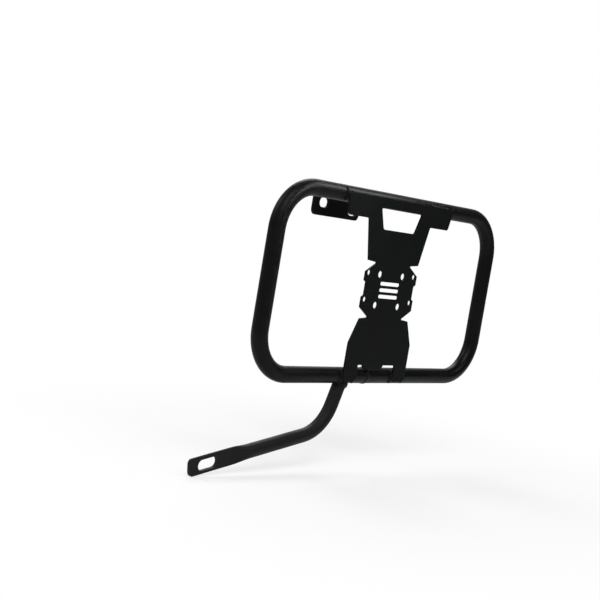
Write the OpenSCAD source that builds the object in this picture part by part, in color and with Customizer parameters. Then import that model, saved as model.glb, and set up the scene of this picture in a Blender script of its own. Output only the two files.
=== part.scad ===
// Left-hand pannier frame for a motorcycle: a closed hoop of bent tube, a laser-cut centre plate welded on its
// outer side, a folded bracket for the subframe and a bent arm with a pressed, slotted end.
// X runs rearwards, Y runs in towards the motorcycle, Z up. The origin is the middle of the plate's outer face.

/* [Hoop] */
// Width of the hoop over its tubes
hoop_w = 420; // [380:1:480]
// Height of the hoop over its tubes
hoop_h = 227; // [214:1:250]
// Outside diameter of the hoop's tube
tube_d = 19; // [17:0.5:22]
// How far the hoop's middle lies behind the plate's middle
hoop_set = 6; // [0:0.5:12]
// Wall of the hoop's tube
tube_wall = 2; // [1.2:0.1:3]
// Bend radius of the hoop's corners, on the tube's centre line
hoop_bend_r = 50; // [30:1:60]
// Width of the weld ring where the tube's ends meet
butt_weld_w = 8; // [4:0.5:10]
// Height of that ring above the tube
butt_weld_h = 0.8; // [0.4:0.1:1.5]

/* [Centre plate] */
// Thickness of the sheet
plate_t = 2.5; // [2:0.5:5]
// Width over the wings along their top edge
wing_top_w = 201; // [192:1:216]
// Width over the wings along their bottom edge
wing_foot_w = 189; // [170:1:198]
// Height of the wings
wing_h = 25.5; // [20:0.5:30]
// How far the wings' top edge stands above the top tube's centre line
wing_rise = 2.5; // [1:0.5:6]
// Width of the neck just under the wings
neck_top_w = 116.5; // [108:0.5:126]
// Width of the neck at its foot
neck_foot_w = 94.5; // [88:0.5:102]
// Width over the outer edges between the notches
waist_w = 97; // [94:0.5:104]
// Height of the shallow recess in each outer edge of the waist
recess_h = 15.5; // [8:0.5:24]
// Depth of that recess
recess_depth = 3.5; // [1:0.5:5]
// Distance between the tips of the left and right notches
notch_tip_w = 61; // [56:1:70]
// Height of the notch tips above and below the middle
notch_tip_z = 31.5; // [29:0.5:36]
// Height of each notch at its mouth
notch_mouth = 13; // [8:0.5:15]
// Rise or fall of each notch's flatter edge from tip to mouth
notch_slope = 1.7; // [0.5:0.1:3]
// Width of the lower plate along its top edge
lower_top_w = 90.5; // [84:0.5:98]
// Width of the lower plate from its shoulders down
lower_w = 116; // [108:1:124]
// Drop from the lower plate's top edge to its shoulders
shoulder_drop = 29; // [20:1:36]
// Width of each leg that runs over the bottom tube
leg_w = 23; // [16:0.5:26]
// How far the legs reach below the bottom tube's centre line
leg_drop = 5; // [2:0.5:7]
// Corner radius of the legs' feet
leg_r = 4; // [1:0.5:7]
// Width of the tongue between the legs along its top
tongue_w = 39; // [30:1:50]
// Width of the tongue along its bottom edge
tongue_foot_w = 31; // [20:1:34]
// How far the tongue's middle lies ahead of the plate's middle
tongue_set = 7; // [0:0.5:9]
// How far the joint of the tube's ends lies ahead of the plate's middle
joint_set = 9; // [0:0.5:12]
// Height of the gaps beside the tongue, above the bottom tube
leg_gap_h = 5; // [4:0.5:8]
// Width of the window along its top edge
window_top_w = 78.5; // [66:0.5:84]
// Width of the window along its bottom edge
window_foot_w = 60; // [46:1:68]
// Height of the window
window_h = 24.5; // [18:0.5:28]
// Height of the window's bottom edge above the middle
window_z = 70.5; // [60:0.5:74]
// Radius of the window's and the wings' lower corners
window_r = 4; // [1:0.5:6]

/* [Plate holes] */
// Diameter of the four inner bolt holes
inner_hole_d = 8.4; // [6:0.1:9]
// Pitch of the inner holes along the frame
inner_pitch_x = 43; // [38:0.5:48]
// Pitch of the inner holes up the frame
inner_pitch_z = 36.5; // [34:0.5:42]
// Diameter of the four outer bolt holes
outer_hole_d = 6.4; // [4.3:0.1:6.8]
// Pitch of the outer holes along the frame
outer_pitch_x = 85.5; // [80:0.5:88]
// Pitch of the outer holes up the frame
outer_pitch_z = 31.5; // [26:0.5:36]
// Height of the middle of the outer holes
outer_z = 3.4; // [0:0.1:4]
// Number of plain lightening slots in the middle
slot_count = 3; // [1:1:3]
// Length of each lightening slot over its round ends
slot_l = 38; // [20:1:50]
// Width of each lightening slot
slot_w = 4.4; // [4:0.1:5]
// Pitch of the lightening slots
slot_pitch = 7.6; // [6.5:0.1:8]

/* [Upper bracket] */
// Length of the bracket
bracket_l = 99; // [92:1:110]
// Height of the bracket's upright face
bracket_h = 37; // [33:0.5:42]
// Thickness of the bracket's sheet
bracket_t = 3; // [2:0.5:5]
// Inside radius of the fold between face and flange
fold_r = 3; // [1:0.5:5]
// Distance from the hoop's centre plane to the mounting face, at the front slot
bracket_offset = 40; // [32:0.5:50]
// Angle between the mounting face and the hoop
bracket_toe = 8; // [0:0.5:12]
// Height of the flange's top above the top tube's centre line
flange_rise = 7.5; // [4:0.5:8]
// Distance from the plate's middle forward to the front slot's middle
front_slot_x = 85; // [76:1:104]
// Distance from the front slot's middle to the bracket's front end
front_margin = 21; // [14:0.5:26]
// Distance from the flange's top down to the front slot's middle
front_slot_depth = 21.7; // [17:0.1:24]
// Length of the bracket's two slots over their round ends
bracket_slot_l = 19; // [14:0.5:22]
// Width of those slots
bracket_slot_w = 11; // [8.5:0.1:12]
// Pitch of the two slots along the face
bracket_pitch = 63; // [50:0.5:66]
// How much lower the rear slot lies than the front one
rear_slot_drop = 4.5; // [0:0.5:6]
// Corner radius of the face's lower corners
bracket_r = 7; // [2:0.5:9]

/* [Lower arm] */
// Outside diameter of the arm's tube
arm_d = 16; // [13:0.5:18]
// Wall of the arm's tube
arm_wall = 2; // [1.2:0.1:3]
// Distance from the plate's middle forward to the arm's root
arm_root_x = 45; // [30:0.5:70]
// Length from the bottom tube's centre line to the corner between the arm's two straights
arm_drop_l = 68; // [60:1:96]
// Angle of the upper straight from upright
arm_lean = 18; // [10:1:32]
// Bend radius of the arm, on its centre line
arm_bend_r = 52; // [30:1:56]
// Length from that corner to the arm's end
arm_reach = 203; // [180:1:240]
// Angle of the lower straight below level
arm_dip = 10; // [0:1:16]
// Length of the pressed end
flat_l = 60; // [46:1:80]
// Height of the pressed end
flat_h = 20; // [19:0.5:25]
// Length of the change from round to flat
blend_l = 27; // [18:1:40]
// Length of the arm's slot over its round ends
arm_slot_l = 27; // [16:0.5:32]
// Width of the arm's slot
arm_slot_w = 12; // [8:0.5:13]
// Distance from the arm's end to the middle of the slot
arm_slot_x = 25; // [22:0.5:30]
// Corner radius of the pressed end
flat_r = 6; // [2:0.5:8]

/* [Welds] */
// Radius of the weld beads
bead_r = 2.2; // [1.5:0.1:3]
// Length of each bead on the wings
wing_bead_l = 34; // [16:1:38]
// Length of each bead on the bracket's flange
flange_bead_l = 28; // [12:1:40]

/* [Hidden] */
$fn = 64;
arc_steps = 6;
bend_steps = 10;
blend_steps = 8;
bar_steps = 14;
weld_steps = 32;
weld_sides = 8;
stitch_turn = 45;
slack = 1;
axis_y = plate_t + tube_d / 2;
axis_w = hoop_w - tube_d;
axis_h = hoop_h - tube_d;
top_z = axis_h / 2;
tube_top_z = -top_z + tube_d / 2;
wing_top_z = top_z + wing_rise;
wing_foot_z = wing_top_z - wing_h;
leg_foot_z = -top_z - leg_drop;
leg_inner_x = lower_w / 2 - leg_w;
gap_top_z = tube_top_z + leg_gap_h;
flange_z = top_z + flange_rise;
arm_bore = arm_d - 2 * arm_wall;
flat_t = 2 * arm_wall;
seam_gap = 0.2;
arm_turn = 90 - arm_lean - arm_dip;
arm_setback = arm_bend_r * tan(arm_turn / 2);
upper_l = arm_drop_l - arm_setback;
lower_l = arm_reach - arm_setback;
round_l = lower_l - flat_l - blend_l;
steel_black = "#1b1c1e";
weld_black = "#242528";

// Outlines are paths of [x, y, corner radius], turned into points here
function unit(v) = v / norm(v);
function xy(p) = [p[0], p[1]];
function arc(centre, r, from, turn) =
    [for (i = [0:arc_steps]) centre + r * [cos(from + turn * i / arc_steps), sin(from + turn * i / arc_steps)]];
function fillet(before, at, after, r) =
    let (
        u = unit(before - at),
        v = unit(after - at),
        half = acos(u * v) / 2,
        centre = at + unit(u + v) * r / sin(half),
        first = at + u * r / tan(half) - centre,
        last = at + v * r / tan(half) - centre,
        from = atan2(first[1], first[0])
    )
    arc(centre, r, from, (atan2(last[1], last[0]) - from + 540) % 360 - 180);
function corner(before, at, after) =
    at[2] == 0 ? [xy(at)] : fillet(xy(before), xy(at), xy(after), at[2]);
function rounded(path) =
    let (n = len(path))
    [for (i = [0:n - 1]) each corner(path[(i + n - 1) % n], path[i], path[(i + 1) % n])];
function both_sides(path) = concat(path, [for (i = [len(path) - 1:-1:0]) [-path[i][0], path[i][1], path[i][2]]]);

// Outline of a bar h high and t thick with round edges: a circle where both are the same
function bar_outline(h, t) =
    [for (side = [1, -1], i = [0:bar_steps])
        side * [(h - t) / 2 + t / 2 * sin(180 * i / bar_steps), -t / 2 * cos(180 * i / bar_steps)]];

// Solid skinned over rings with the same number of points, closed on itself or capped at both ends
module skin(rings, closed = false) {
    sides = len(rings[0]);
    last = len(rings) - 1;
    walls = [for (i = [0:closed ? last : last - 1], j = [0:sides - 1])
        let (
            here = i * sides,
            there = (i + 1) % len(rings) * sides,
            next = (j + 1) % sides
        )
        each [[here + j, there + next, here + next], [here + j, there + j, there + next]]];
    caps = closed ? [] : [[for (j = [0:sides - 1]) j], [for (j = [sides - 1:-1:0]) last * sides + j]];
    polyhedron([for (ring = rings) each ring], concat(walls, caps));
}

// Stands a flat drawing up in the plane of the frame, from depth y0 to y1
module upright(y0, y1) {
    translate([0, y1, 0]) rotate([90, 0, 0]) linear_extrude(y1 - y0) children();
}

// Bar along X through the hoop's top tube (side 1) or bottom tube (side -1)
module long_bar(side) {
    translate([-hoop_w / 2, axis_y, side * top_z]) rotate([0, 90, 0]) cylinder(d = tube_d, h = hoop_w);
}

// Rounded rectangle bent from round bar, standing in the hoop's plane
module bent_ring(d) {
    straight_w = axis_w - 2 * hoop_bend_r;
    straight_h = axis_h - 2 * hoop_bend_r;
    translate([0, axis_y, 0]) rotate([90, 0, 0]) for (side = [-1, 1]) {
        translate([-straight_w / 2, side * axis_h / 2, 0]) rotate([0, 90, 0]) cylinder(d = d, h = straight_w);
        translate([side * axis_w / 2, -straight_h / 2, 0]) rotate([-90, 0, 0]) cylinder(d = d, h = straight_h);
        for (end = [-1, 1])
            translate([side * straight_w / 2, end * straight_h / 2, 0])
                rotate([0, 0, side * end > 0 ? 90 - 90 * side : 90 * side + 180])
                    rotate_extrude(angle = 90) translate([hoop_bend_r, 0]) circle(d = d);
    }
}

module hoop_tube() {
    color(steel_black) translate([hoop_set, 0, 0]) difference() {
        bent_ring(tube_d);
        bent_ring(tube_d - 2 * tube_wall);
    }
}

// Low ring of weld round the joint of the tube's two ends
module hoop_butt_weld() {
    color(weld_black) translate([-joint_set, axis_y, -top_z]) rotate([0, 90, 0]) rotate_extrude()
        translate([tube_d / 2, 0]) polygon([
            [0, -butt_weld_w / 2],
            [butt_weld_h * 0.7, -butt_weld_w / 4],
            [butt_weld_h, 0],
            [butt_weld_h * 0.7, butt_weld_w / 4],
            [0, butt_weld_w / 2]
        ]);
}

module plate_outline() {
    upper_mouth_z = notch_tip_z + notch_slope;
    lower_tip_z = -notch_tip_z - notch_slope;
    lower_top_z = lower_tip_z - notch_slope;
    recess_end_z = (recess_h + recess_depth) / 2;
    polygon(rounded(both_sides([
        [wing_top_w / 2, wing_top_z, 2],
        [wing_foot_w / 2, wing_foot_z, window_r],
        [neck_top_w / 2, wing_foot_z, 2],
        [neck_foot_w / 2, upper_mouth_z, 1],
        [notch_tip_w / 2, notch_tip_z, 0.8],
        [waist_w / 2, upper_mouth_z - notch_mouth, 1],
        [waist_w / 2, recess_end_z, 1],
        [waist_w / 2 - recess_depth, recess_h / 2, 1],
        [waist_w / 2 - recess_depth, -recess_h / 2, 1],
        [waist_w / 2, -recess_end_z, 1],
        [waist_w / 2, lower_top_z + notch_mouth, 1],
        [notch_tip_w / 2, lower_tip_z, 0.8],
        [lower_top_w / 2, lower_top_z, 1],
        [lower_w / 2, lower_top_z - shoulder_drop, 6],
        [lower_w / 2, leg_foot_z, leg_r],
        [leg_inner_x, leg_foot_z, leg_r],
        [leg_inner_x, gap_top_z, 1.5]
    ])));
    translate([-tongue_set, 0]) polygon(rounded(both_sides([
        [tongue_w / 2, gap_top_z + leg_gap_h, 0],
        [tongue_w / 2, gap_top_z, 0],
        [tongue_foot_w / 2, tube_top_z, 1]
    ])));
}

module window_outline() {
    polygon(rounded(both_sides([
        [window_top_w / 2, window_z + window_h, 2],
        [window_foot_w / 2, window_z, window_r]
    ])));
}

module hole_rectangle(pitch_x, pitch_z, d) {
    for (x = [-1, 1], z = [-1, 1]) translate([x * pitch_x / 2, z * pitch_z / 2]) circle(d = d);
}

module slot(l, w) {
    square([l - w, w], center = true);
    for (side = [-1, 1]) translate([side * (l - w) / 2, 0]) circle(d = w);
}

module centre_plate() {
    color(steel_black) upright(0, plate_t) difference() {
        plate_outline();
        window_outline();
        hole_rectangle(inner_pitch_x, inner_pitch_z, inner_hole_d);
        translate([0, outer_z]) hole_rectangle(outer_pitch_x, outer_pitch_z, outer_hole_d);
        for (i = [0:slot_count - 1])
            translate([0, (i - (slot_count - 1) / 2) * slot_pitch]) slot(slot_l, slot_w);
    }
}

// Bead that climbs round a long tube beside an edge of the plate, from the edge's bottom to its top
module climbing_bead(x, side) {
    translate([x, axis_y, side * top_z]) rotate([0, 90, 0]) rotate([0, 0, -90 - stitch_turn])
        rotate_extrude(angle = 2 * stitch_turn) translate([tube_d / 2, 0]) circle(r = bead_r);
}

module level_bead(x, y, z, l) {
    translate([x - l / 2, y, z]) rotate([0, 90, 0]) cylinder(r = bead_r, h = l);
}

// What is left of the beads outside the plate and the tube
module beads_on_plate(side) {
    color(weld_black) difference() {
        children();
        upright(0, axis_y) plate_outline();
        long_bar(side);
    }
}

module wing_welds() {
    wing_end_x = wing_top_w / 2 - (wing_top_w - wing_foot_w) / 2 * wing_rise / wing_h;
    wing_bead_x = (neck_top_w + wing_foot_w) / 4;
    beads_on_plate(1) for (side = [-1, 1]) {
        climbing_bead(side * wing_end_x, 1);
        level_bead(side * wing_bead_x, plate_t, wing_top_z, wing_bead_l);
    }
}

// The arm's own bead runs under the front leg, so only the rear leg has one under its foot
module leg_welds() {
    color(weld_black) difference() {
        beads_on_plate(-1) {
            for (side = [-1, 1], x = [leg_inner_x, lower_w / 2]) climbing_bead(side * x, -1);
            level_bead(leg_inner_x + leg_w / 2, plate_t, leg_foot_z, leg_w - 2 * leg_r);
        }
        at_arm_root() along_upper(arm_d + 2 * bead_r + slack);
    }
}

// The bracket's own frame: the front slot's middle on the mounting face
module at_bracket() {
    translate([-front_slot_x, axis_y + bracket_offset, flange_z - front_slot_depth])
        rotate([0, 0, bracket_toe]) children();
}

// Section of the folded sheet: face down from the fold, flange out from it
module bracket_section(reach) {
    foot = front_slot_depth - bracket_h;
    polygon(rounded([
        [0, foot, 0],
        [0, front_slot_depth, fold_r + bracket_t],
        [-reach, front_slot_depth, 0],
        [-reach, front_slot_depth - bracket_t, 0],
        [-bracket_t, front_slot_depth - bracket_t, fold_r],
        [-bracket_t, foot, 0]
    ]));
}

module bracket_face() {
    foot = front_slot_depth - bracket_h;
    difference() {
        polygon(rounded([
            [-front_margin, foot, bracket_r],
            [bracket_l - front_margin, foot, bracket_r],
            [bracket_l - front_margin, front_slot_depth + slack, 0],
            [-front_margin, front_slot_depth + slack, 0]
        ]));
        slot(bracket_slot_l, bracket_slot_w);
        translate([bracket_pitch, -rear_slot_drop]) slot(bracket_slot_l, bracket_slot_w);
    }
}

// Folded sheet, its flange trimmed to the middle of the top tube
module bracket_sheet() {
    reach = bracket_offset + bracket_l;
    difference() {
        at_bracket() intersection() {
            translate([-front_margin, 0, 0]) rotate([90, 0, 90]) linear_extrude(bracket_l) bracket_section(reach);
            upright(-reach, slack) bracket_face();
        }
        translate([-hoop_w / 2, axis_y - 2 * reach, top_z - tube_d]) cube([hoop_w, 2 * reach, 2 * tube_d]);
    }
}

module upper_bracket() {
    color(steel_black) difference() {
        bracket_sheet();
        long_bar(1);
    }
}

module bracket_welds() {
    front_x = -front_slot_x - front_margin * cos(bracket_toe);
    rear_x = front_x + bracket_l * cos(bracket_toe);
    color(weld_black) difference() {
        for (x = [front_x + flange_bead_l / 2 + bead_r, rear_x - flange_bead_l / 2 - bead_r], rise = [0, bracket_t])
            level_bead(x, axis_y + sqrt(pow(tube_d / 2, 2) - pow(flange_rise - rise, 2)), flange_z - rise,
                flange_bead_l);
        bracket_sheet();
        long_bar(1);
    }
}

// The arm's own frame: X down the upper straight from the bottom tube's axis, Y to the rear, Z out
module at_arm_root() {
    translate([-arm_root_x, axis_y, -top_z]) rotate([90, 0, 0]) rotate([0, 0, -90 - arm_lean]) children();
}

// Bar along the whole upper straight
module along_upper(d) {
    rotate([0, 90, 0]) cylinder(d = d, h = upper_l);
}

// Places on the arm's centre line: on the bend after some turn, and on the lower straight
function on_bend(turn) = [upper_l + arm_bend_r * sin(turn), arm_bend_r * (cos(turn) - 1)];
function on_lower(x) = on_bend(arm_turn) + x * [cos(arm_turn), -sin(arm_turn)];

// Ring of the arm's skin round one of those places
function arm_ring(place, turn, h, t) =
    [for (p = bar_outline(h, t)) [place[0] + p[0] * sin(turn), place[1] + p[0] * cos(turn), p[1]]];

// The arm's skin: round down to the blend, then pressed to end_h high and end_t thick
module arm_bar(d, end_h, end_t, end_x) {
    skin(concat(
        [arm_ring([0, 0], 0, d, d)],
        [for (i = [0:bend_steps]) arm_ring(on_bend(arm_turn * i / bend_steps), arm_turn * i / bend_steps, d, d)],
        [for (i = [0:blend_steps])
            let (ease = (1 - cos(180 * i / blend_steps)) / 2)
            arm_ring(on_lower(round_l + blend_l * i / blend_steps), arm_turn,
                d + (end_h - d) * ease, d + (end_t - d) * ease)],
        [arm_ring(on_lower(end_x), arm_turn, end_h, end_t)]
    ));
}

// What is cut from the pressed end: the slot, and all outside its rounded corners
module end_cuts() {
    end = lower_l - arm_slot_x;
    translate(on_lower(0)) rotate([0, 0, -arm_turn]) translate([0, 0, -flat_t]) linear_extrude(2 * flat_t) {
        translate([end, 0]) slot(arm_slot_l, arm_slot_w);
        difference() {
            translate([end, -flat_h]) square([2 * arm_slot_x, 2 * flat_h]);
            polygon(rounded([
                [end - slack, -flat_h / 2, 0],
                [lower_l, -flat_h / 2, flat_r],
                [lower_l, flat_h / 2, flat_r],
                [end - slack, flat_h / 2, 0]
            ]));
        }
    }
}

module lower_arm() {
    color(steel_black) difference() {
        at_arm_root() difference() {
            arm_bar(arm_d, flat_h, flat_t, lower_l + slack);
            arm_bar(arm_bore, flat_h - flat_t, seam_gap, round_l + blend_l + slack);
            end_cuts();
        }
        long_bar(-1);
    }
}

// Point of the seam between arm and bottom tube at angle a round the arm, in the arm's frame
function seam(a) =
    let (
        side = arm_d / 2 * sin(a),
        lean_in = arm_d / 2 * cos(a)
    )
    [(sqrt(pow(tube_d / 2, 2) - pow(side, 2)) + lean_in * sin(arm_lean)) / cos(arm_lean), lean_in, side];

// Ring of the bead's skin round that point
function seam_ring(a) =
    let (
        out = [0, cos(a), sin(a)],
        up = unit(cross(unit(seam(a + 1) - seam(a - 1)), out))
    )
    [for (j = [0:weld_sides - 1])
        seam(a) + bead_r * (cos(360 * j / weld_sides) * out + sin(360 * j / weld_sides) * up)];

module arm_weld() {
    color(weld_black) difference() {
        at_arm_root() difference() {
            skin([for (i = [0:weld_steps - 1]) seam_ring(360 * i / weld_steps)], closed = true);
            along_upper(arm_d);
        }
        upright(0, plate_t) plate_outline();
        long_bar(-1);
    }
}

hoop_tube();
hoop_butt_weld();
centre_plate();
wing_welds();
leg_welds();
upper_bracket();
bracket_welds();
lower_arm();
arm_weld();
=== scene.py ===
import math
import random

import bpy
from mathutils import Matrix, Vector


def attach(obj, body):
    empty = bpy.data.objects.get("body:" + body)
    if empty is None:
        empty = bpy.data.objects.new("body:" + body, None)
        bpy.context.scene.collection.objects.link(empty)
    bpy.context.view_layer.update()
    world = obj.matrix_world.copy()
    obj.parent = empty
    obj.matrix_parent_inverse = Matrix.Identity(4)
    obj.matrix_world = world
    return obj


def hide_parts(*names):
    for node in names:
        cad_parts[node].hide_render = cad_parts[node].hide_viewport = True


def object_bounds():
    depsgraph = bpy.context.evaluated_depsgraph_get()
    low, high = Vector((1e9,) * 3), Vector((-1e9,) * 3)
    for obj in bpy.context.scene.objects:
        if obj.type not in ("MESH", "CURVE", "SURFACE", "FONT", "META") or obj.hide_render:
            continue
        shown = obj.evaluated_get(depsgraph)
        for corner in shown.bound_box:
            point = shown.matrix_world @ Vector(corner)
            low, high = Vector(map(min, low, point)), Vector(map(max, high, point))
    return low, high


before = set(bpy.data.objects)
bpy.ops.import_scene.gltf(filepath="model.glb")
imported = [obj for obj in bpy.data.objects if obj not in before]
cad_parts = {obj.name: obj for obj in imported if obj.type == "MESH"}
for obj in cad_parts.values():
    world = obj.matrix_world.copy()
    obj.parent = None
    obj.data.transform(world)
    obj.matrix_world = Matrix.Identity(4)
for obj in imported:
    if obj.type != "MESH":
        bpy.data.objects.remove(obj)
cad_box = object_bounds()
scene = bpy.context.scene


# Camera and studio
# The frame is photographed from outside, a little ahead of the plate and at its own height, through a long
# lens, over white paper before a white backdrop. The room behind the camera is dim. Large soft lamps light
# the frame plainly, and two small narrow ones draw the highlight on the top tube.
MM = 0.001
IMAGE_SIDE = 600
FOCAL_PX = 1192.7
CENTRE_PX = (309.3, 284.6)
CAMERA_AT = Vector((-1110.9, -863.0, 82.5)) * MM
CAMERA_RIGHT = Vector((0.6639, -0.7293, 0.1652)).normalized()
CAMERA_AHEAD = Vector((0.7452, 0.6637, -0.0645)).normalized()

lens = bpy.data.cameras.new("studio_camera")
lens.sensor_width = 36.0
lens.lens = FOCAL_PX * lens.sensor_width / IMAGE_SIDE
lens.shift_x = 0.5 - CENTRE_PX[0] / IMAGE_SIDE
lens.shift_y = CENTRE_PX[1] / IMAGE_SIDE - 0.5
camera = bpy.data.objects.new("studio_camera", lens)
scene.collection.objects.link(camera)
turn = Matrix((CAMERA_RIGHT, CAMERA_RIGHT.cross(CAMERA_AHEAD), -CAMERA_AHEAD)).transposed()
camera.matrix_world = Matrix.Translation(CAMERA_AT) @ turn.to_4x4()
scene.camera = camera
scene.view_settings.view_transform = "Standard"


def soft_lamp(name, place, aim, width, depth, watts):
    """A rectangular area lamp at a place in metres, turned to a point."""
    light = bpy.data.lights.new(name, "AREA")
    light.shape = "RECTANGLE"
    light.size = width
    light.size_y = depth
    light.energy = watts
    lamp = bpy.data.objects.new(name, light)
    scene.collection.objects.link(lamp)
    look = (Vector(aim) - Vector(place)).to_track_quat("-Z", "Y")
    lamp.matrix_world = Matrix.LocRotScale(Vector(place), look, None)
    return lamp


soft_lamp("key_softbox", (-0.9, -1.0, 1.6), (0, 0, 0), 1.2, 1.2, 27.0)
soft_lamp("right_softbox", (0.7, -0.9, 0.85), (-0.1, 0, 0), 0.5, 0.5, 3.0)
soft_lamp("back_softbox", (-1.1, 1.4, 1.4), (0, 0, 0), 1.0, 1.0, 17.0)
soft_lamp("back_fill_softbox", (1.0, 1.2, 1.4), (0, 0, 0), 1.0, 1.0, 16.0)
strip = soft_lamp("strip_softbox", (0.33, -0.22, 0.52), (-0.28, 0, 0.11), 0.3, 0.25, 0.14)
strip.data.spread = math.radians(26)
corner = soft_lamp("corner_softbox", (0.2, -0.74, 0.55), (-0.23, 0, 0.1), 0.25, 0.25, 0.1)
corner.data.spread = math.radians(20)


def put(tree, socket, value):
    """Links an output to the socket, or sets a plain value on it."""
    if isinstance(value, bpy.types.NodeSocket):
        tree.links.new(value, socket)
    else:
        socket.default_value = value


def maths(tree, operation, first, second, clamp=False):
    node = tree.nodes.new("ShaderNodeMath")
    node.operation = operation
    node.use_clamp = clamp
    put(tree, node.inputs[0], first)
    put(tree, node.inputs[1], second)
    return node.outputs["Value"]


def mix(tree, kind, factor, first, second):
    node = tree.nodes.new("ShaderNodeMix")
    node.data_type = kind
    put(tree, node.inputs["Factor"], factor)
    put(tree, node.inputs["A"], first)
    put(tree, node.inputs["B"], second)
    return node.outputs["Result"]


def remap(tree, value, low, high, to_low=0.0, to_high=1.0, curve="LINEAR"):
    """The value's stretch from low to high, spread over another stretch and held at its ends."""
    node = tree.nodes.new("ShaderNodeMapRange")
    node.interpolation_type = curve
    put(tree, node.inputs["Value"], value)
    for name, bound in (("From Min", low), ("From Max", high), ("To Min", to_low), ("To Max", to_high)):
        node.inputs[name].default_value = bound
    return node.outputs["Result"]


WHITE = (1, 1, 1, 1)
ROOM_LEVEL = 0.3
ROOM_MIRRORED = 0.06
BACKDROP_STARTS, BACKDROP_FULL = 0.6, 0.95
sky = bpy.data.worlds.new("white_studio")
sky.use_nodes = True
scene.world = sky
tree = sky.node_tree
seen = tree.nodes.new("ShaderNodeLightPath")
where = tree.nodes.new("ShaderNodeTexCoord")
towards = tree.nodes.new("ShaderNodeVectorMath")
towards.operation = "DOT_PRODUCT"
towards.inputs[1].default_value = (CAMERA_AHEAD.x, CAMERA_AHEAD.y, 0.0)
tree.links.new(where.outputs["Generated"], towards.inputs[0])
sweep = remap(tree, towards.outputs["Value"], BACKDROP_STARTS, BACKDROP_FULL,
              to_low=ROOM_MIRRORED, curve="SMOOTHSTEP")
mirrored = maths(tree, "MAXIMUM", seen.outputs["Is Glossy Ray"], seen.outputs["Is Transmission Ray"])
room = mix(tree, "FLOAT", mirrored, ROOM_LEVEL, sweep)
level = mix(tree, "FLOAT", seen.outputs["Is Camera Ray"], room, 1.0)
backdrop = tree.nodes["Background"]
backdrop.inputs["Color"].default_value = WHITE
tree.links.new(level, backdrop.inputs["Strength"])

FLOOR_GAP = 0.0006
FLOOR_RADIUS = 4.0
PAPER_GREY = (0.8, 0.8, 0.8, 1)
GLOW_NEAR = 0.55
GLOW_RISES, GLOW_FULL = 0.2, 0.6
floor_at = (0, 0, cad_box[0][2] - FLOOR_GAP)
bpy.ops.object.select_all(action="DESELECT")
bpy.ops.mesh.primitive_circle_add(vertices=96, radius=FLOOR_RADIUS, fill_type="NGON", location=floor_at)
floor = bpy.context.object
floor.name = "studio_floor"
bpy.ops.object.transform_apply(location=True, rotation=True, scale=True)
paper = bpy.data.materials.new("white_paper_sweep")
paper.use_nodes = True
tree = paper.node_tree
matt = tree.nodes["Principled BSDF"]
matt.inputs["Base Color"].default_value = PAPER_GREY
matt.inputs["Roughness"].default_value = 0.9
glow = tree.nodes.new("ShaderNodeEmission")
glow.inputs["Color"].default_value = WHITE
seen = tree.nodes.new("ShaderNodeLightPath")
where = tree.nodes.new("ShaderNodeTexCoord")
far = tree.nodes.new("ShaderNodeVectorMath")
far.operation = "LENGTH"
tree.links.new(where.outputs["Object"], far.inputs[0])
fade = remap(tree, far.outputs["Value"], GLOW_RISES, GLOW_FULL, to_low=GLOW_NEAR, curve="SMOOTHSTEP")
looking = maths(tree, "MAXIMUM", seen.outputs["Is Camera Ray"], seen.outputs["Is Transmission Ray"])
blend = tree.nodes.new("ShaderNodeMixShader")
tree.links.new(maths(tree, "MULTIPLY", fade, looking), blend.inputs["Fac"])
tree.links.new(matt.outputs["BSDF"], blend.inputs[1])
tree.links.new(glow.outputs["Emission"], blend.inputs[2])
tree.links.new(blend.outputs["Shader"], tree.nodes["Material Output"].inputs["Surface"])
floor.data.materials.append(paper)


# Hoop
# A closed loop of 19 mm steel tube, bent at four corners, its ends butt welded behind the plate's tongue.
# It is powder coated satin black with the rest of the frame, with the faint orange peel of a baked coat.
PEEL_DEPTH = 0.0002
DUST_COLOUR = (0.11, 0.105, 0.1, 1)


def noise(tree, where, scale, detail):
    node = tree.nodes.new("ShaderNodeTexNoise")
    put(tree, node.inputs["Vector"], where)
    put(tree, node.inputs["Scale"], scale)
    node.inputs["Detail"].default_value = detail
    return node.outputs["Fac"]


def new_group(name, inputs, outputs):
    """An empty node group with its sockets, its input and output nodes, and the object's coordinates."""
    group = bpy.data.node_groups.new(name, "ShaderNodeTree")
    for label, kind, value in inputs:
        socket = group.interface.new_socket(label, in_out="INPUT", socket_type=kind)
        socket.default_value = value
    for label, kind in outputs:
        group.interface.new_socket(label, in_out="OUTPUT", socket_type=kind)
    given = group.nodes.new("NodeGroupInput").outputs
    out = group.nodes.new("NodeGroupOutput").inputs
    where = group.nodes.new("ShaderNodeTexCoord").outputs["Object"]
    return group, given, out, where


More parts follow.
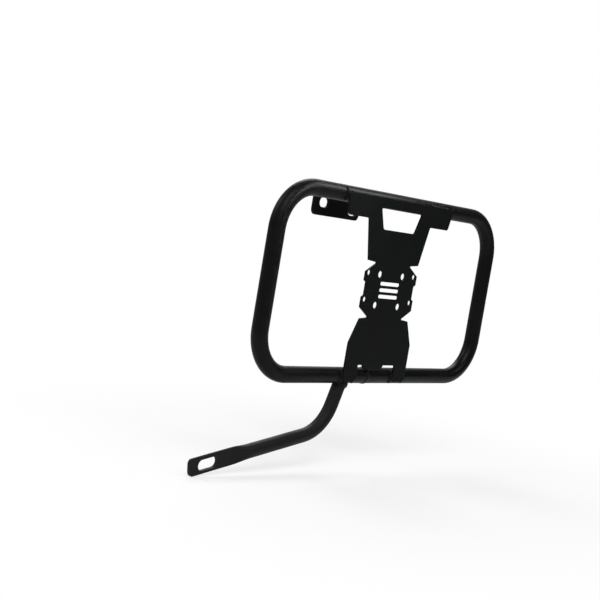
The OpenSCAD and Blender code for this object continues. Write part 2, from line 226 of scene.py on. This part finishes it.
def baked_powder_group():
    """The look of baked black powder: colour, roughness and height, with its sizes as inputs."""
    group, given, out, where = new_group("baked_powder", (
        ("Cool Black", "NodeSocketColor", (0.0009, 0.0030, 0.0030, 1)),
        ("Warm Black", "NodeSocketColor", (0.0031, 0.0031, 0.0030, 1)),
        ("Gloss Roughness", "NodeSocketFloat", 0.45),
        ("Peel Per Metre", "NodeSocketFloat", 520.0),
        ("Dust", "NodeSocketFloat", 0.12),
    ), (
        ("Colour", "NodeSocketColor"),
        ("Roughness", "NodeSocketFloat"),
        ("Height", "NodeSocketFloat"),
    ))
    peel = noise(group, where, given["Peel Per Metre"], 2.0)
    grain = noise(group, where, 2600.0, 1.0)
    height = mix(group, "FLOAT", 0.22, peel, grain)
    group.links.new(height, out["Height"])

    patches = remap(group, noise(group, where, 26.0, 5.0), 0.35, 0.65)
    tint = mix(group, "RGBA", patches, given["Cool Black"], given["Warm Black"])
    specks = remap(group, noise(group, where, 1400.0, 3.0), 0.66, 0.8)
    dusty = maths(group, "MULTIPLY", specks, given["Dust"])
    group.links.new(mix(group, "RGBA", dusty, tint, DUST_COLOUR), out["Colour"])

    play = remap(group, patches, 0.0, 1.0, to_low=-0.05, to_high=0.06)
    rough = maths(group, "ADD", given["Gloss Roughness"], play, clamp=True)
    group.links.new(rough, out["Roughness"])
    return group


def powder(name, specular, roughness, bump=0.3, **settings):
    """A powder coated material from the group, with its own values on the group's inputs."""
    coat = bpy.data.materials.new(name)
    coat.use_nodes = True
    tree = coat.node_tree
    shader = tree.nodes["Principled BSDF"]
    shader.inputs["IOR"].default_value = 1.5
    shader.inputs["Specular IOR Level"].default_value = specular
    look = tree.nodes.new("ShaderNodeGroup")
    look.name = "baked_powder"
    look.node_tree = baked_powder
    look.inputs["Gloss Roughness"].default_value = roughness
    for key, value in settings.items():
        look.inputs[key.replace("_", " ")].default_value = value
    relief = tree.nodes.new("ShaderNodeBump")
    relief.inputs["Strength"].default_value = bump
    relief.inputs["Distance"].default_value = PEEL_DEPTH
    tree.links.new(look.outputs["Height"], relief.inputs["Height"])
    tree.links.new(look.outputs["Colour"], shader.inputs["Base Color"])
    tree.links.new(look.outputs["Roughness"], shader.inputs["Roughness"])
    tree.links.new(relief.outputs["Normal"], shader.inputs["Normal"])
    return coat


baked_powder = baked_powder_group()
tube_powder = powder("tube_powder", specular=0.11, roughness=0.42, bump=0.15,
                     Cool_Black=(0.0015, 0.0025, 0.0021, 1), Warm_Black=(0.0030, 0.0031, 0.0026, 1))
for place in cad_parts["hoop_tube"].material_slots:
    place.material = tube_powder


# Centre plate
# One sheet of 2.5 mm steel, laser cut with its window, bolt holes and lightening slots, and welded flat
# against the outside of the hoop. The powder is thin on the cut edges, which rub through first.
EDGE_SPECULAR = 0.2
EDGE_ROUGHNESS = 0.36
MERGE_DISTANCE = 0.000002
FLAT_WITHIN = math.radians(0.4)
SHARP_BEYOND = math.radians(42)
SHEET_ROUNDING = 0.4 * MM


def edge_wear_group():
    """A mask of small rubbed places, for the rounded edges of the cut sheets and the pressed end."""
    group, given, out, where = new_group("edge_wear", (
        ("Patch Per Metre", "NodeSocketFloat", 70.0),
        ("Wear", "NodeSocketFloat", 0.4),
    ), (("Mask", "NodeSocketFloat"),))
    patch = noise(group, where, given["Patch Per Metre"], 4.0)
    chip = noise(group, where, 1100.0, 2.0)
    rubbed = remap(group, maths(group, "ADD", patch, chip), 0.98, 1.3)
    group.links.new(maths(group, "MULTIPLY", rubbed, given["Wear"], clamp=True), out["Mask"])
    return group


def worn_edge(name, bare, wear):
    """The same powder on a rounded edge, rubbed in places to a paler tone."""
    coat = powder(name, EDGE_SPECULAR, EDGE_ROUGHNESS)
    tree = coat.node_tree
    mask = tree.nodes.new("ShaderNodeGroup")
    mask.node_tree = edge_wear
    mask.inputs["Wear"].default_value = wear
    colour = tree.nodes["baked_powder"].outputs["Colour"]
    rubbed = mix(tree, "RGBA", mask.outputs["Mask"], colour, (bare, bare, bare, 1))
    tree.links.new(rubbed, tree.nodes["Principled BSDF"].inputs["Base Color"])
    return coat


def softened_copy(node, name, width, materials):
    """The node's mesh, merged, freed of the loose edges in its flats, and with its sharp edges rounded.

    The first material covers the piece and the second one the rounded edges.
    """
    piece = bpy.data.objects.new(name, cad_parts[node].data.copy())
    piece.data.name = name
    scene.collection.objects.link(piece)
    bpy.ops.object.select_all(action="DESELECT")
    piece.select_set(True)
    bpy.context.view_layer.objects.active = piece
    piece.data.materials.clear()
    for material in materials:
        piece.data.materials.append(material)
    bpy.ops.object.mode_set(mode="EDIT")
    bpy.ops.mesh.select_all(action="SELECT")
    bpy.ops.mesh.remove_doubles(threshold=MERGE_DISTANCE)
    bpy.ops.mesh.customdata_custom_splitnormals_clear()
    bpy.ops.mesh.dissolve_limited(angle_limit=FLAT_WITHIN)
    bpy.ops.object.mode_set(mode="OBJECT")
    for face in piece.data.polygons:
        face.material_index = 0
    rounding = piece.modifiers.new("rounded_edges", "BEVEL")
    rounding.width = width
    rounding.segments = 2
    rounding.limit_method = "ANGLE"
    rounding.angle_limit = SHARP_BEYOND
    rounding.use_clamp_overlap = True
    rounding.material = 1
    bpy.ops.object.modifier_apply(modifier=rounding.name)
    bpy.ops.object.shade_smooth_by_angle(angle=SHARP_BEYOND)
    flats = piece.modifiers.new("level_flats", "WEIGHTED_NORMAL")
    flats.keep_sharp = True
    bpy.ops.object.modifier_apply(modifier=flats.name)
    return piece


edge_wear = edge_wear_group()
sheet_powder = powder("sheet_powder", specular=0.1, roughness=0.56, bump=0.18)
sheet_edge = worn_edge("sheet_edge_powder", bare=0.05, wear=0.35)
plate = softened_copy("centre_plate", "plate_sheet", SHEET_ROUNDING, (sheet_powder, sheet_edge))
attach(plate, "root")
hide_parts("centre_plate")


# Upper bracket
# A strip of 3 mm sheet folded to a right angle, its flange cut to the curve of the top tube and its face
# punched with two oblong bolt holes. It stands behind the top tube and leans in towards the front.
bracket = softened_copy("upper_bracket", "folded_bracket", SHEET_ROUNDING, (sheet_powder, sheet_edge))
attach(bracket, "root")
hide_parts("upper_bracket")


# Lower arm
# A 16 mm tube cut to the bottom tube's curve, bent once, its end pressed flat, rounded off and punched
# with a slot for the footrest hanger's bolt. Its coat is duller than the hoop's and rubbed at the edges.
# Its blacks are painted paler than the hoop's, as painted light from the nearby floor.
PRESSED_ROUNDING = 0.5 * MM
pressed_edge = worn_edge("pressed_edge_powder", bare=0.06, wear=0.4)
# Painted light: the arm's blacks are paler than the hoop's to stand in for the floor's light falling on
# it.
arm_lit_powder = powder("arm_lit_powder", specular=0.17, roughness=0.58,
                    Cool_Black=(0.0055, 0.0065, 0.0067, 1), Warm_Black=(0.0070, 0.0071, 0.0074, 1))
arm = softened_copy("lower_arm", "bent_arm", PRESSED_ROUNDING, (arm_lit_powder, pressed_edge))
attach(arm, "root")
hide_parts("lower_arm")


# Welds on the plate
# Short runs of weld hold the plate: two climb round the top tube beside the wings' ends and two lie along
# the wings' top edge; four climb beside the legs and one lies under the rear leg's foot. Each bead is a
# row of frozen puddles under the same powder.
TUBE_AXIS_Y = 12.0 * MM
TUBE_AXIS_Z = 104.0 * MM
TUBE_RADIUS = 9.5 * MM
SHEET_BACK_Y = 2.5 * MM
PUDDLE_STEP = 1.7 * MM
PUDDLE_TILT = math.radians(-24)
PUDDLE_SIZES = (0.95, 1.05)
PUDDLE_SHIFT = 0.1
VOXEL = 0.32 * MM
puddle_play = random.Random(5)


def one_puddle(along, across, out):
    """A single frozen weld puddle: a flattened drop that leans back over the one before it."""
    bpy.ops.object.select_all(action="DESELECT")
    bpy.ops.mesh.primitive_uv_sphere_add(segments=20, ring_count=12, radius=1.0, location=(0, 0, 0))
    puddle = bpy.context.object
    bpy.ops.object.mode_set(mode="EDIT")
    bpy.ops.mesh.select_all(action="SELECT")
    bpy.ops.transform.resize(value=(along, across, out))
    bpy.ops.object.mode_set(mode="OBJECT")
    puddle.rotation_euler = (0, PUDDLE_TILT, 0)
    bpy.ops.object.transform_apply(location=True, rotation=True, scale=True)
    return puddle


def straight_run(start, end, out):
    """Places along a level bead, each with its direction of travel and its outward direction."""
    start, end, out = Vector(start), Vector(end), Vector(out).normalized()
    steps = max(2, round((end - start).length / PUDDLE_STEP))
    travel = (end - start).normalized()
    return [(start.lerp(end, i / steps), travel, out) for i in range(steps + 1)]


def climbing_run(x, side):
    """Places round the top tube (side 1) or bottom tube (side -1), a quarter turn on the plate's side."""
    steps = round(TUBE_RADIUS * math.pi / 2 / PUDDLE_STEP)
    run = []
    for i in range(steps + 1):
        angle = math.radians(-45 + 90 * i / steps)
        out = Vector((0, -math.cos(angle), math.sin(angle)))
        travel = Vector((0, math.sin(angle), math.cos(angle)))
        centre = Vector((x, TUBE_AXIS_Y, side * TUBE_AXIS_Z))
        run.append((centre + TUBE_RADIUS * out, travel, out))
    return run


def lay_beads(name, puddle, places, voxel=VOXEL):
    """Copies the puddle to every place, then melts the row into one skin."""
    drops = []
    for place, travel, out in places:
        drop = puddle.copy()
        drop.data = puddle.data.copy()
        scene.collection.objects.link(drop)
        turn = Matrix((travel, out.cross(travel), out)).transposed().to_4x4()
        size = puddle_play.uniform(*PUDDLE_SIZES)
        shift = travel * puddle_play.uniform(-PUDDLE_SHIFT, PUDDLE_SHIFT) * PUDDLE_STEP
        drop.matrix_world = Matrix.Translation(place + shift) @ turn @ Matrix.Scale(size, 4)
        drops.append(drop)
    bpy.ops.object.select_all(action="DESELECT")
    for drop in drops:
        drop.select_set(True)
    bead = drops[0]
    bpy.context.view_layer.objects.active = bead
    bpy.ops.object.join()
    bpy.ops.object.transform_apply(location=True, rotation=True, scale=True)
    bead.name = name
    bead.data.name = name
    melt = bead.modifiers.new("melted", "REMESH")
    melt.mode = "VOXEL"
    melt.voxel_size = voxel
    bpy.ops.object.modifier_apply(modifier=melt.name)
    ease = bead.modifiers.new("eased", "SMOOTH")
    ease.factor = 0.5
    ease.iterations = 2
    bpy.ops.object.modifier_apply(modifier=ease.name)
    bpy.ops.object.shade_smooth()
    return bead


def place_beads(bead, node):
    """Coats the bead and puts it in the place of the node's smooth one."""
    bead.data.materials.clear()
    bead.data.materials.append(weld_powder)
    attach(bead, "root")
    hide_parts(node)


weld_powder = powder("weld_powder", specular=0.16, roughness=0.5, bump=0.35, Peel_Per_Metre=900.0)
bead_puddle = one_puddle(1.7 * MM, 2.1 * MM, 1.8 * MM)

WING_END_X = 99.9 * MM
WING_BEAD_X = (60.5 * MM, 92.3 * MM)
WING_TOP_Z = 106.5 * MM
wing_runs = []
for side in (-1, 1):
    wing_runs += climbing_run(side * WING_END_X, 1)
    inner, outer = ((side * x, SHEET_BACK_Y, WING_TOP_Z) for x in WING_BEAD_X)
    wing_runs += straight_run(inner, outer, (0, -0.4, 1))
place_beads(lay_beads("wing_beads", bead_puddle, wing_runs), "wing_welds")

LEG_EDGES_X = (35.0 * MM, 58.0 * MM)
LEG_FOOT_X = (40.2 * MM, 52.8 * MM)
LEG_FOOT_Z = -109.0 * MM
ARM_LEAN = math.radians(18)
ARM_ROOT = Vector((-45.0 * MM, TUBE_AXIS_Y, -TUBE_AXIS_Z))
ARM_DOWN = Vector((-math.sin(ARM_LEAN), 0, -math.cos(ARM_LEAN)))
CLEAR_OF_ARM = 10.9 * MM
leg_runs = []
for x in LEG_EDGES_X:
    leg_runs += climbing_run(x, -1)
    leg_runs += climbing_run(-x, -1)
front, rear = ((x, SHEET_BACK_Y, LEG_FOOT_Z) for x in LEG_FOOT_X)
leg_runs += straight_run(front, rear, (0, -0.4, -1))


def clear_of_arm(place):
    """True where a puddle stays out of the way of the arm and of the arm's own weld."""
    reach = place - ARM_ROOT
    beside = reach - reach.dot(ARM_DOWN) * ARM_DOWN
    return beside.length > CLEAR_OF_ARM or reach.dot(ARM_DOWN) < 0


leg_runs = [station for station in leg_runs if clear_of_arm(station[0])]
place_beads(lay_beads("leg_beads", bead_puddle, leg_runs), "leg_welds")


# Welds on the bracket
# Near each end of the bracket's flange, one run above it and one below it hold it to the back of the top
# tube, laid the same way as the plate's.
FLANGE_VOXEL = 0.34 * MM
FLANGE_RUNS = ((-102.4 * MM, -76.8 * MM), (-36.8 * MM, -11.2 * MM))
FLANGE_SIDES = ((17.83 * MM, 111.5 * MM, (0, 0.3, 1)), (20.37 * MM, 108.5 * MM, (0, 1, -0.2)))
flange_runs = []
for first, last in FLANGE_RUNS:
    for y, z, out in FLANGE_SIDES:
        flange_runs += straight_run((first, y, z), (last, y, z), out)
place_beads(lay_beads("bracket_beads", bead_puddle, flange_runs, FLANGE_VOXEL), "bracket_welds")


# Weld round the arm's root
# One run goes all the way round the arm where its coped end sits on the underside of the bottom tube.
# It follows the saddle of the two round tubes.
ARM_RADIUS = 8.0 * MM
SEAM_PUDDLES = 32


def arm_seam(angle):
    """The point of the joint between the arm and the bottom tube, at an angle round the arm."""
    over = ARM_RADIUS * math.sin(angle)
    lean_in = ARM_RADIUS * math.cos(angle)
    down = (math.sqrt(TUBE_RADIUS ** 2 - over ** 2) + lean_in * math.sin(ARM_LEAN)) / math.cos(ARM_LEAN)
    rearward = Vector((math.cos(ARM_LEAN), 0, -math.sin(ARM_LEAN)))
    return ARM_ROOT + down * ARM_DOWN + lean_in * rearward + over * Vector((0, -1, 0))


seam_runs = []
for i in range(SEAM_PUDDLES):
    angle = 2 * math.pi * i / SEAM_PUDDLES
    here, ahead, behind = arm_seam(angle), arm_seam(angle + 0.02), arm_seam(angle - 0.02)
    travel = (ahead - behind).normalized()
    on_axis = ARM_ROOT + (here - ARM_ROOT).dot(ARM_DOWN) * ARM_DOWN
    out = (here - on_axis).normalized()
    out = (out - out.dot(travel) * travel).normalized()
    seam_runs.append((here, travel, out))
place_beads(lay_beads("arm_root_bead", bead_puddle, seam_runs), "arm_weld")


# Weld that closes the hoop
# The tube's two ends meet in the bottom tube behind the tongue. The joint is a low, wide ring of weld,
# sunk a little into the tube.
JOINT_AT = Vector((-9.0 * MM, TUBE_AXIS_Y, -TUBE_AXIS_Z))
RING_PUDDLES = 36
RING_SUNK = 0.45 * MM
ring_puddle = one_puddle(1.75 * MM, 3.6 * MM, 1.1 * MM)
ring_runs = []
for i in range(RING_PUDDLES):
    angle = 2 * math.pi * i / RING_PUDDLES
    out = Vector((0, math.cos(angle), math.sin(angle)))
    travel = Vector((0, -math.sin(angle), math.cos(angle)))
    ring_runs.append((JOINT_AT + (TUBE_RADIUS - RING_SUNK) * out, travel, out))
place_beads(lay_beads("hoop_joint_bead", ring_puddle, ring_runs), "hoop_butt_weld")
for puddle in (bead_puddle, ring_puddle):
    bpy.data.objects.remove(puddle)
